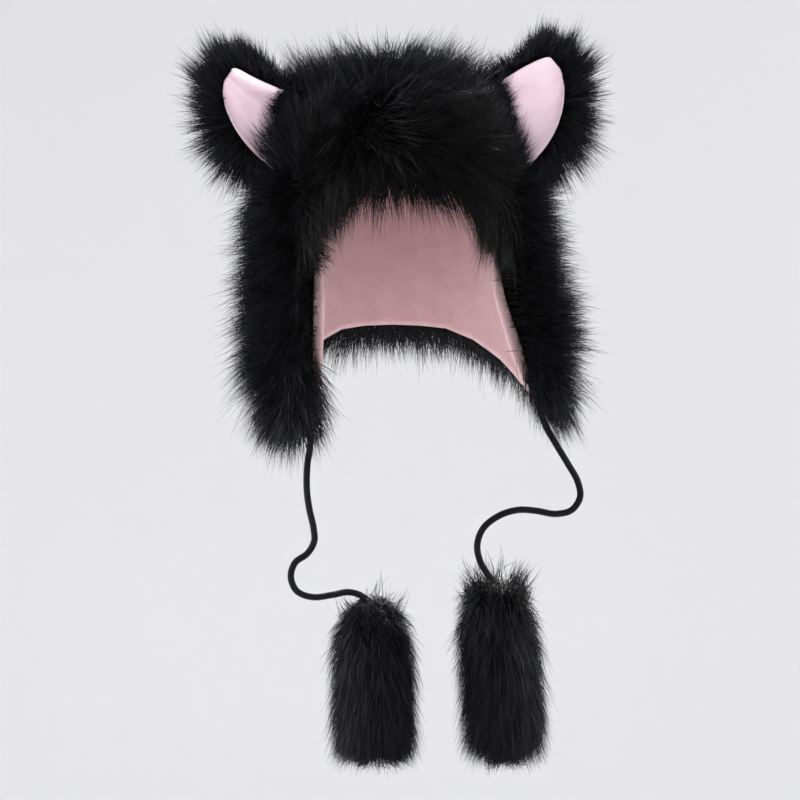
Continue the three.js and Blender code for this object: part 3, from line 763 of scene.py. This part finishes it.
swirl += SWIRL_DRIFT * drift(root, 1.0)
sideways = np.maximum(np.abs(lean), SIDEWAYS_LEAN * facing)
comb = down * (lean * np.cos(swirl))[:, None] + across * (sideways * np.sin(swirl))[:, None]
to_ear = (across * side_sign * 0.35 - down) * EAR_FRONT_LEAN
comb += (to_ear - comb) * by_ear[:, None]
tousled_across = rng.normal(size=(HOOD_TUFTS, 1))
tousled_down = rng.normal(size=(HOOD_TUFTS, 1))
comb += TOUSLE * (across * tousled_across + down * tousled_down)

# its fold over the lining's front edge and the brow's corners
show = np.where(on_left, level_at(height, "left_show"), level_at(height, "right_show"))
bared = BARED_SHARE * smooth(show, *BARED_SHOW) * smooth(height, *BARED_HEIGHT)
fold = ~over_face * (1 - edge_share) * (1 - bared)
corner_fold = smooth(away, *CORNER_ROUND) * over_face * (1 - smooth(over_brow, *CORNER_OVER))
to_face = -across * side_sign
turn = (FOLD_TURN * fold)[:, None]
left_fold = np.interp(height / MM, FOLD_HEIGHTS, LEFT_FOLDS)
right_fold = np.interp(height / MM, FOLD_HEIGHTS, RIGHT_FOLDS)
fold_over = np.where(on_left, left_fold, right_fold) * MM

stray = (rng.random(HOOD_TUFTS) < STRAY_SHARE) * (1 - behind) * (1 - facing)
wild = rng.uniform(*TUFT_LENGTHS, HOOD_TUFTS) + STRAY_EXTRA * stray
rise_vector = (out * np.cos(turn) + to_face * np.sin(turn)) * (pile * wild)[:, None]
lean_vector = comb * wild[:, None] + to_face * (fold_over * (fold + 1.1 * corner_fold))[:, None]
# Painted highlight: the hair tips are painted paler on the crown and along the flap hems.
below_crown = smooth(drop, *PAINTED_LIGHT_DOWN)
painted_light_tone = 1 + CROWN_PAINTED_HIGHLIGHT * (1 - below_crown) + HEM_PAINTED_HIGHLIGHT * flap * (1 - smooth(over_hem, *HEM_HIGHLIGHT_FADE))
# Painted shade: the forehead's hair tips are painted darker.
painted_light_tone -= FOREHEAD_PAINTED_SHADE * facing * below_crown
crown = drop < CROWN_END
nape = ~crown & (away > NAPE_START)
sides = ~crown & ~nape
regions = {
    "crown_fur": crown,
    "nape_fur": nape,
    "left_flap_fur": sides & on_left,
    "right_flap_fur": sides & ~on_left,
}
for name, chosen in regions.items():
    fur = hairs(
        name,
        root[chosen],
        rise_vector[chosen],
        lean_vector[chosen],
        painted_light_tone[chosen],
        HAIRS_PER_TUFT,
        TUFT_SPREAD,
        HAIR_WIDTH,
        TIP_STRAY,
        rng,
    )
    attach(fur, "root")
    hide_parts("hood_fur")

# Ears. Each is a stiff cupped sheet of the fur fabric, seamed to the crown, with its long fur
# swept outwards from the edge. A panel of pale pink plush is sewn into its hollow.
EARS = {
    "left": {"sign": -1, "tip": (-168, -4, 17), "swing": 8, "rise": 2, "crease": 14, "foot": 0.32},
    "right": {"sign": 1, "tip": (155, -4, 26), "swing": 10, "rise": 19, "crease": 2, "foot": 0.21},
}
EAR_SEAM_POLAR = (36, 63, 92)
EAR_SEAM_AZIMUTH = (77, 96, 80)
EAR_SEAM_LIFT = 6.9 * MM
EAR_POWER, EAR_TAPER, EAR_BLUNT = 1.6, 0.5, 0.12
EAR_UPPER_SWING = 25
EAR_RISE_POWER = 0.75
CREASE_AT = -0.42  # where the soft fold runs, between the upper edge and the middle
CREASE_WIDTH = 0.24
EAR_PANEL_GAP = 0.5 * MM
EAR_PANEL_THICKNESS = 2.5 * MM
EAR_PANEL_REACH = 0.883  # share of the sheet's half width that the pink panel covers
EAR_PANEL_TOP = 0.95
EAR_PANEL_FOOT = 0.14
EAR_CELLS = (14, 16)
EAR_EDGE_THIN = 0.35  # share of its thickness that a sheet keeps at its edge
EAR_LENGTHS = {"upper": 24, "foot": 28, "lower": 45, "tip": 26}  # of the fur, by its place
EAR_TIPWARD = {"upper": 0.7, "lower": 0.2, "tip": 0}
EAR_CORNER_TURN = math.radians(50)  # the longest fur points up and out, this far above level
EAR_CORNER_WIDTH = math.radians(24)
EAR_CORNER_EXTRA = 0.5
EAR_TOP_TURN = (1.2, 1.7)  # radians over level, where the fur that points straight up is short
EAR_TOP_SHORTER = 0.55
EAR_PILE = 30 * MM
EAR_UNDERFUR = 6 * MM
EAR_FRONT_STAND = 6 * MM
EAR_SPREAD = 1.8 * MM
EAR_FLATTEN = 0.3  # how much of its forward lean the fur keeps past the edge
EAR_MIDDLE = 0.42  # how far up the ear lies the spot that its fur fans out from


def ear_sheet(ear, across, up):
    """Points of the ear's front face, on the right side. across runs from -1 at the upper edge
    to 1 at the lower edge, and up from 0 at the seam to 1 at the tip."""

    def bend(values, t):
        first, middle, last = values
        return middle + (last - first) / 2 * t + ((last + first) / 2 - middle) * t * t

    def seam(t):
        azimuth, drop = bend(EAR_SEAM_AZIMUTH, t), bend(EAR_SEAM_POLAR, t) / 90
        return inner_surface(azimuth, drop) + skin_axes(azimuth, drop)[2] * EAR_SEAM_LIFT

    up = np.clip(up, 0, 1)
    narrow = EAR_BLUNT + (1 - EAR_BLUNT) * (1 - up**EAR_POWER) ** EAR_TAPER
    tip = np.abs(ear["tip"][0]) * MM, ear["tip"][1] * MM, ear["tip"][2] * MM
    base = seam(0 * across)
    spine = base + (np.array(tip) - base) * up[..., None]
    lower = (1 + across) / 2
    curve = np.sin(math.pi * up) * MM
    spine[..., 0] += (EAR_UPPER_SWING + (ear["swing"] - EAR_UPPER_SWING) * lower) * curve
    spine[..., 2] += ear["rise"] * MM * (1 - lower) * np.sin(math.pi * up**EAR_RISE_POWER)
    folded = ear["crease"] * MM * smooth(up, 0.1, 0.35) * narrow**2
    upper_band = smooth(-across, 0.4, 1)
    spine[..., 1] += folded * (np.exp(-(((across - CREASE_AT) / CREASE_WIDTH) ** 2)) - upper_band)
    return spine + (seam(across) - base) * narrow[..., None]


def ear_point(ear, across, up, offset):
    step = 0.01
    near = np.clip(up, step, 1 - 2 * step)
    along_up = ear_sheet(ear, across, near + step) - ear_sheet(ear, across, near - step)
    along_across = ear_sheet(ear, across + step, near) - ear_sheet(ear, across - step, near)
    back = unit(np.cross(along_up, along_across))
    point = ear_sheet(ear, across, up) + back * np.asarray(offset)[..., None]
    return point * (ear["sign"], 1, 1), back * (ear["sign"], 1, 1)


def ear_directions(ear, across, up):
    """Unit vectors along the ear's sheet: away from its middle, and from its seam to its tip."""
    base, middle, tip = (ear_sheet(ear, 0 * across, 0 * up + share) for share in (0, EAR_MIDDLE, 1))
    outwards = ear_sheet(ear, across, up) - middle
    outwards[..., 1] *= EAR_FLATTEN
    mirror = (ear["sign"], 1, 1)
    return unit(outwards) * mirror, unit(tip - base) * mirror


def panel_foot(ear, across):
    """Where the pink panel begins: higher at the upper edge, where the crown's fur meets it."""
    return EAR_PANEL_FOOT + (ear["foot"] - EAR_PANEL_FOOT) * smooth(-across, -0.2, 0.8)


def ear_wall(name, ear, reach, footed, top, near, far, finish):
    """A wall over part of the ear's sheet, between two offsets behind its front face."""
    columns, rows = EAR_CELLS
    across = np.linspace(-reach, reach, columns + 1) * -ear["sign"]
    across, up = np.meshgrid(across, np.linspace(0, 1, rows + 1), indexing="ij")
    lowest = panel_foot(ear, across) if footed else 0
    up = lowest + (top - lowest) * up
    edge = np.abs(across) / reach
    thin = (1 - edge**6) * smooth(top - up, -0.02, 0.2)
    inner = ear_point(ear, across, up, near)[0]
    thickness = EAR_EDGE_THIN + (1 - EAR_EDGE_THIN) * thin
    outer = ear_point(ear, across, up, near + (far - near) * thickness)[0]
    return wall(name, columns, rows, np.ones(EAR_CELLS, bool), inner, outer, finish)


EAR_DEEP = (0.68, 0.46, 0.535)
EAR_PALE = (0.87, 0.72, 0.79)
pale_plush = plush_finish("pale_pink_plush", EAR_DEEP, EAR_PALE)

EAR_TUFTS = 1400
EDGE_TUFTS = 0.62  # share of the tufts that are rooted along the edge
TIP_TUFTS = 0.2  # share of those that are round the tip
UPPER_TUFTS = 0.4  # share of those at the sides that are on the upper edge
FRONT_TUFTS = 0.4  # share of those at the edge that are rooted in front
EDGE_REACH = (0.95, 1)
TIP_REACH = (0.955, 1)
FRINGE_TUFTS = 110
FRINGE_LENGTH = 14 * MM
FRINGE_STAND = 5 * MM
EAR_HAIRS_PER_TUFT = 9
# the ears' hair tips are painted paler than the hood's: a painted highlight where the lamps catch
# them
EAR_PAINTED_HIGHLIGHT = 1.5

for side, ear in EARS.items():
    panel = ear_wall(
        f"ear_panel_{side}",
        ear,
        EAR_PANEL_REACH,
        True,
        EAR_PANEL_TOP,
        -EAR_PANEL_GAP - EAR_PANEL_THICKNESS,
        -EAR_PANEL_GAP,
        pale_plush,
    )
    back = ear_wall(f"ear_shell_{side}", ear, 1, False, 1, 0, EAR_UNDERFUR, black_underfur)
    rng = np.random.default_rng(20 + ear["sign"])
    at_edge = rng.random(EAR_TUFTS) < EDGE_TUFTS
    at_tip = at_edge & (rng.random(EAR_TUFTS) < TIP_TUFTS)
    edge_sign = np.where(rng.random(EAR_TUFTS) < UPPER_TUFTS, -1, 1)
    edge_across = edge_sign * rng.uniform(*EDGE_REACH, EAR_TUFTS)
    across = np.where(at_edge, edge_across, rng.uniform(-1, 1, EAR_TUFTS))
    across = np.where(at_tip, rng.uniform(-1, 1, EAR_TUFTS), across)
    tip_up = rng.uniform(*TIP_REACH, EAR_TUFTS)
    up = np.where(at_tip, tip_up, rng.uniform(0.08, 1, EAR_TUFTS))
    in_front = at_edge & (rng.random(EAR_TUFTS) < FRONT_TUFTS)
    root, out = ear_point(ear, across, up, np.where(in_front, -0.5, 2) * MM)
    outwards, tipwards = ear_directions(ear, across, up)
    near_edge = np.where(at_tip, 1.8 * np.abs(across), np.abs(across) ** 1.5)
    near_tip = smooth(up, 0.6, 1)
    upper = across < 0
    tipward = np.where(upper, EAR_TIPWARD["upper"], EAR_TIPWARD["lower"])
    tipward = tipward + (EAR_TIPWARD["tip"] - tipward) * near_tip
    foot_length, lower_length = EAR_LENGTHS["foot"], EAR_LENGTHS["lower"]
    length = foot_length + (lower_length - foot_length) * smooth(up, 0.2, 0.6)
    length = np.where(upper, EAR_LENGTHS["upper"], length)
    length = (length + (EAR_LENGTHS["tip"] - length) * near_tip) * MM
    reach = unit(outwards * near_edge[:, None] + tipwards * tipward[:, None])
    turn = np.arctan2(reach[:, 2], reach[:, 0] * ear["sign"])
    length *= 1 + EAR_CORNER_EXTRA * np.exp(-(((turn - EAR_CORNER_TURN) / EAR_CORNER_WIDTH) ** 2))
    length *= 1 - EAR_TOP_SHORTER * smooth(turn, *EAR_TOP_TURN)
    reach *= (length * np.where(at_edge, 1, 0.5 + 0.5 * near_edge))[:, None]
    stand = EAR_PILE * np.clip(1 - 0.6 * near_edge, 0.3, 1) * rng.uniform(0.4, 1, EAR_TUFTS)
    stand = np.where(in_front, -EAR_FRONT_STAND * rng.uniform(0.2, 1, EAR_TUFTS), stand)
    wild = rng.uniform(0.6, 1.12, EAR_TUFTS)[:, None]
    rise = (out * stand[:, None] + 0.5 * reach) * wild
    lean = 0.5 * reach * wild
    # a fringe of the crown's fur over the panel's foot
    across = rng.uniform(-0.95, 0.95, FRINGE_TUFTS)
    up = panel_foot(ear, across) - rng.uniform(0.01, 0.09, FRINGE_TUFTS)
    foot, out = ear_point(ear, across, up, -EAR_PANEL_GAP - EAR_PANEL_THICKNESS)
    tipwards = ear_directions(ear, across, up)[1]
    reach = tipwards * FRINGE_LENGTH * rng.uniform(0.5, 1.1, (FRINGE_TUFTS, 1))
    fur = hairs(
        f"ear_fur_hairs_{side}",
        np.vstack([root, foot]),
        np.vstack([rise, 0.6 * reach - out * FRINGE_STAND]),
        np.vstack([lean, 0.4 * reach]),
        EAR_PAINTED_HIGHLIGHT,
        EAR_HAIRS_PER_TUFT,
        EAR_SPREAD,
        HAIR_WIDTH,
        TIP_STRAY,
        rng,
    )
    for piece in (panel, back, fur):
        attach(piece, "root")
        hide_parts(f"ear_inner_{side}" if piece is panel else f"ear_fur_{side}")

# Pompoms. Long soft pompoms of the same fur, gathered round the end of each cord over a stuffed
# core. Their hair hangs down and out, and bristles up round the cord at the top.
POMPOM_DROPS = [-14, 0, 6, 25, 54, 85, 116, 141, 149]
POMPOM_HALF_WIDTHS = [9, 22, 27, 32, 32, 31, 29, 21, 2]
POMPOM_HALF_DEPTHS = [8, 19, 24, 28, 28, 27, 26, 20, 2]
POMPOM_SHIFTS = [0, 0, 0.1, 0.25, 0.5, 0.75, 0.9, 1, 1]
POMPOM_FORWARD = 4 * MM
POMPOM_GAP = 0.8 * MM
POMPOMS = {
    "left": {"sway": 3 * MM, "stretch": 0.89, "bristles": 0.05, "taper": 0, "highest": -13},
    "right": {"sway": 9 * MM, "stretch": 1.06, "bristles": 0.3, "taper": 0.5, "highest": -3},
}
POMPOM_TAPER_DROPS = (105, 149)
CORE_SHARE = 0.72  # size of the stuffed core against the pompom's dense body
CORE_DROPS = (4, 145)
CORE_COLUMNS, CORE_ROWS = 20, 24
POMPOM_TUFTS = 1950
POMPOM_HAIRS_PER_TUFT = 9
ROOT_SHARE = 0.68  # the hairs are rooted a little inside the core
LOWEST_TUFT = 146
LOWEST_TIP = 150
BRISTLE_DROPS = (6, 24)  # over which the bristles at the top end
BRISTLE_LIFT = 1.3
BRISTLE_STAND = 12
BRISTLE_RISE = 5 * MM
WISP_LENGTH = 22
HAIR_LIFTS = ([-14, 15, 50], [1.2, 0.6, 0])  # how steeply the hairs rise, by their drop
HAIR_STANDS = ([-14, 0, 40], [8, 14, 10])  # how far they stand past the dense body
HAIR_DROOPS = ([-14, 20, 60], [12, 28, 40])


def pompom_point(side, drop, angle, share):
    """A point of the pompom, from its drop in millimetres and the share of its half sizes."""
    shape = POMPOMS[side]
    top = np.array(CORD_ROUTES[side][-1]) - (0, 0, POMPOM_GAP)
    shift = np.interp(drop, POMPOM_DROPS, POMPOM_SHIFTS)
    share = share * (1 - shape["taper"] * smooth(drop, *POMPOM_TAPER_DROPS))
    wide = np.interp(drop, POMPOM_DROPS, POMPOM_HALF_WIDTHS) * MM * share
    deep = np.interp(drop, POMPOM_DROPS, POMPOM_HALF_DEPTHS) * MM * share
    x = top[0] + shape["sway"] * shift + wide * np.sin(angle)
    y = top[1] - POMPOM_FORWARD * shift - deep * np.cos(angle)
    return np.stack([x, y, top[2] - drop * MM * shape["stretch"] + 0 * x], axis=-1)


for side in POMPOMS:
    drop = np.linspace(*CORE_DROPS, CORE_ROWS + 1)
    angle = np.linspace(0, 2 * math.pi, CORE_COLUMNS + 1)
    turn, fall = np.meshgrid(angle, drop, indexing="ij")
    surface = pompom_point(side, fall, turn, CORE_SHARE)[:-1]
    number = np.arange(CORE_COLUMNS * (CORE_ROWS + 1)).reshape(CORE_COLUMNS, CORE_ROWS + 1)
    number = np.vstack([number, number[:1]])
    quads = [number[:-1, :-1], number[:-1, 1:], number[1:, 1:], number[1:, :-1]]
    faces = np.stack(quads, axis=-1).reshape(-1, 4)
    core = mesh_piece(f"pompom_core_{side}", surface.reshape(-1, 3), faces, black_underfur)
    fill = bpy.ops.mesh.fill_holes, {"sides": 0}
    edit_mesh(core, fill, (bpy.ops.mesh.normals_make_consistent, {"inside": False}))

    rng = np.random.default_rng(40 if side == "left" else 41)
    drop = rng.uniform(POMPOMS[side]["highest"], LOWEST_TUFT, POMPOM_TUFTS)
    angle = rng.uniform(0, 2 * math.pi, POMPOM_TUFTS)
    root = pompom_point(side, drop, angle, ROOT_SHARE)
    bristling = POMPOMS[side]["bristles"] * (1 - smooth(drop, *BRISTLE_DROPS))
    bristles = rng.random(POMPOM_TUFTS) < bristling
    lift = np.where(bristles, BRISTLE_LIFT, np.interp(drop, *HAIR_LIFTS))
    out = unit(np.column_stack([np.sin(angle), -np.cos(angle), lift]))
    body = pompom_point(side, drop, angle, 1) - root
    wisp = WISP_LENGTH * rng.random(POMPOM_TUFTS) ** 3
    beyond = np.where(bristles, BRISTLE_STAND + wisp, np.interp(drop, *HAIR_STANDS)) * MM
    stand = np.linalg.norm(body, axis=1) + beyond
    floor_room = (LOWEST_TIP - drop) * MM * POMPOMS[side]["stretch"]
    droop = np.minimum(np.interp(drop, *HAIR_DROOPS) * MM, floor_room)
    droop = np.where(bristles, -BRISTLE_RISE, droop)
    wild = rng.uniform(0.85, 1.12, POMPOM_TUFTS)[:, None]
    fur = hairs(
        f"pompom_fur_{side}",
        root,
        out * stand[:, None] * wild,
        np.outer(-droop, (0, 0, 1)) * wild,
        1,
        POMPOM_HAIRS_PER_TUFT,
        TUFT_SPREAD,
        HAIR_WIDTH,
        TIP_STRAY,
        rng,
    )
    for piece in (core, fur):
        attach(piece, "root")
        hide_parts(f"pompom_{side}")
    cord, line, length = cords[side]
    line[::PATH_EVERY].tolist() + [line[-1].tolist()]

# Studio. A wide pale floor well under the pompoms that curves up all round like a shallow bowl,
# a weak soft lamp in front, and brighter ones at the sides, over the top and behind, which
# give the black fur its bright edge.
FLOOR_HEIGHT = -1.5
FLOOR_SIZE = 24
FLOOR_CELLS = 64
FLOOR_GREY = (0.8, 0.8, 0.81, 1)
FLAT_REACH = 4
BOWL_RISE = 0.22
WORLD_STRENGTH = 0.95
bpy.ops.mesh.primitive_grid_add(
    x_subdivisions=FLOOR_CELLS, y_subdivisions=FLOOR_CELLS, size=FLOOR_SIZE
)
floor = bpy.context.object
floor.name = "floor"
for vertex in floor.data.vertices:
    vertex.co.z = FLOOR_HEIGHT + BOWL_RISE * max(vertex.co.xy.length - FLAT_REACH, 0) ** 2
bpy.ops.object.shade_smooth()
ground = Finish("pale_floor", roughness=0.9, gloss=0.1)
floor.data.materials.append(ground.done(Base_Color=FLOOR_GREY))

LAMPS = [
    {"name": "key", "place": (-0.4, -2.4, 0.5), "size": 1.3, "power": 28},
    {"name": "left", "place": (-2.0, 0.2, 0.4), "size": 1.0, "power": 120},
    {"name": "right", "place": (2.0, 0.3, 0.4), "size": 1.0, "power": 85},
    {"name": "top", "place": (0.15, 1.45, 1.3), "size": 0.8, "power": 340},
    {"name": "behind", "place": (0.5, 2.0, 0.9), "size": 1.3, "power": 50},
]
LAMP_AIM = Vector((0, 0, -0.05))
for row in LAMPS:
    bpy.ops.object.light_add(type="AREA", location=row["place"])
    lamp = bpy.context.object
    lamp.name = row["name"]
    lamp.data.size = row["size"]
    lamp.data.energy = row["power"]
    lamp.rotation_euler = (LAMP_AIM - lamp.location).to_track_quat("-Z", "Y").to_euler()

world = bpy.data.worlds.new("studio")
world.use_nodes = True
sky = world.node_tree.nodes["Background"]
sky.inputs["Color"].default_value = (1, 1, 1, 1)
sky.inputs["Strength"].default_value = WORLD_STRENGTH
bpy.context.scene.world = world
bpy.context.scene.view_settings.view_transform = "Standard"
